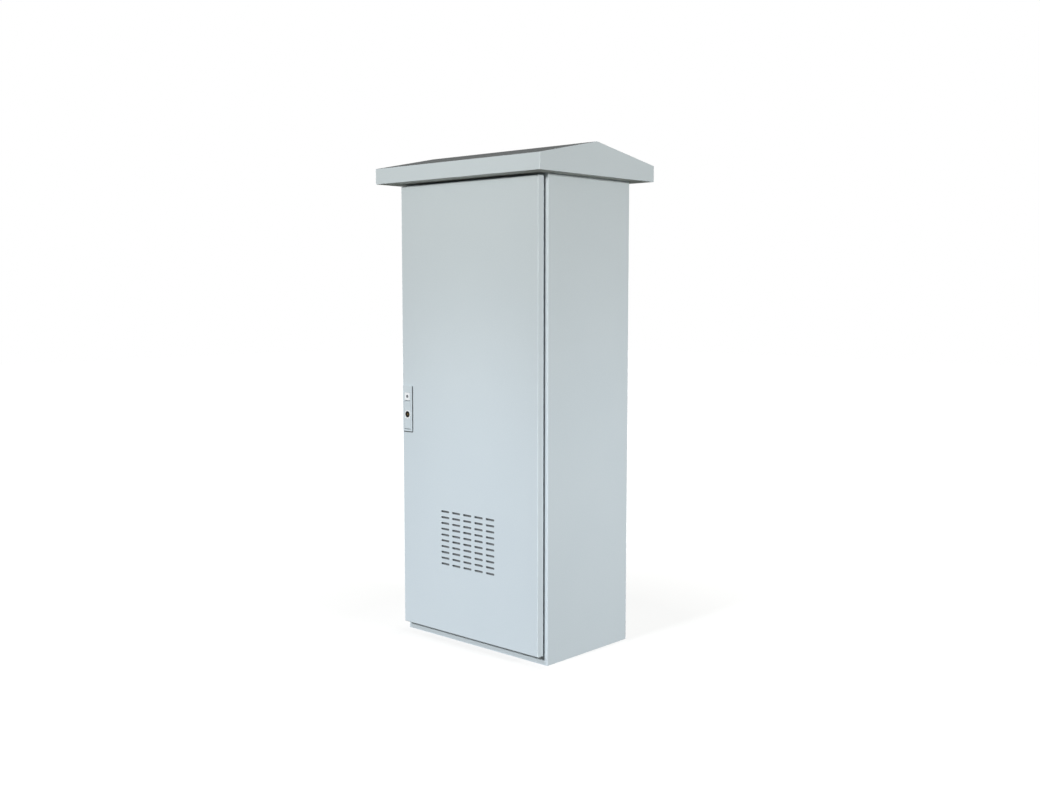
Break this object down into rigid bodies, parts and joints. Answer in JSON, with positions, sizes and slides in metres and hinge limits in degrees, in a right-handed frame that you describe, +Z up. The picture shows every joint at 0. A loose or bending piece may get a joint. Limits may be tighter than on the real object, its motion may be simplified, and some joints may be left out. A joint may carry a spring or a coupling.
{
  "type": "control cabinet",
  "caption": "Free-standing outdoor steel control cabinet with an overhanging pitched rain roof, a full-height vented door on concealed hinges and a flush rod lock.",
  "frame": {"origin": "on the floor, under the middle of the roof's footprint", "axes": "+Z up, the door faces -Y, +X to the right seen from the front"},
  "size_m": [0.92, 0.7, 2.0299],
  "materials": {
    "paint": "light grey powder coat, satin, fine texture",
    "zinc": "zinc plated",
    "rubber": "foamed, matt",
    "black_zinc": "black plated, satin",
    "brass": "turned",
    "button_white": "moulded, satin",
    "guide_black": "moulded, matt",
    "filter": "fibre mat"
  },
  "bodies": {
    "cabinet": {"body_shell": "paint", "top_panel": "paint", "head_rail": "paint", "base_tray": "paint", "sill_rail": "paint", "roof_canopy": "paint", "roof_soffit": "paint", "roof_bolts": "zinc", "roof_nuts": "zinc", "gland_plate": "zinc", "gland_gasket": "rubber", "gland_screws": "zinc", "mounting_plate": "zinc", "plate_studs": "zinc", "plate_nuts": "zinc", "earth_stud": "brass", "hinge_leaf_upper": "zinc", "hinge_leaf_middle": "zinc", "hinge_leaf_lower": "zinc", "hinge_screws": "zinc", "strike_upper": "zinc", "strike_lower": "zinc", "strike_screws": "zinc"},
    "door": {"door_panel": "paint", "door_gasket": "rubber", "door_stiffener_left": "zinc", "door_stiffener_right": "zinc", "filter_frame": "zinc", "filter_mat": "filter", "door_leaf_upper": "zinc", "door_leaf_middle": "zinc", "door_leaf_lower": "zinc", "hinge_pin_upper": "zinc", "hinge_pin_middle": "zinc", "hinge_pin_lower": "zinc", "lock_plate": "paint", "lock_seal": "rubber", "lock_case": "zinc", "lock_screws": "zinc", "lever_pin": "zinc", "rod_guide_upper": "guide_black", "rod_guide_lower": "guide_black"},
    "lever": {"lock_lever": "paint"},
    "button": {"push_button": "button_white", "button_clip": "zinc"},
    "key": {"key_cylinder": "black_zinc", "key_plug": "brass", "drive_pinion": "zinc"},
    "rod_up": {"upper_rod": "zinc"},
    "rod_down": {"lower_rod": "zinc"}
  },
  "joints": [
    {"name": "door_swing", "type": "hinge", "parent": "cabinet", "child": "door", "pos_m": [0.375, -0.255, 0.9645], "axis": [0, 0, 1], "range_deg": [0, 110]},
    {"name": "lever_pull", "type": "hinge", "parent": "door", "child": "lever", "pos_m": [-0.351, -0.276, 0.988], "axis": [-1, 0, 0], "range_deg": [0, 40]},
    {"name": "button_press", "type": "slide", "parent": "door", "child": "button", "axis": [0, 1, 0], "range_m": [0, 0.003], "stiffness_N_per_m": 800},
    {"name": "key_turn", "type": "hinge", "parent": "door", "child": "key", "pos_m": [-0.351, -0.262, 0.938], "axis": [0, 1, 0], "range_deg": [0, 90]},
    {"name": "rod_up_slide", "type": "slide", "parent": "door", "child": "rod_up", "axis": [0, 0, 1], "range_m": [0, 0.02356]},
    {"name": "rod_down_slide", "type": "slide", "parent": "door", "child": "rod_down", "axis": [0, 0, -1], "range_m": [0, 0.0236]}
  ],
  "couplings": [
    {"joint": "key_turn", "follows": "rod_up_slide", "rad_per_m": 66.667},
    {"joint": "rod_down_slide", "follows": "rod_up_slide", "ratio": 1}
  ]
}
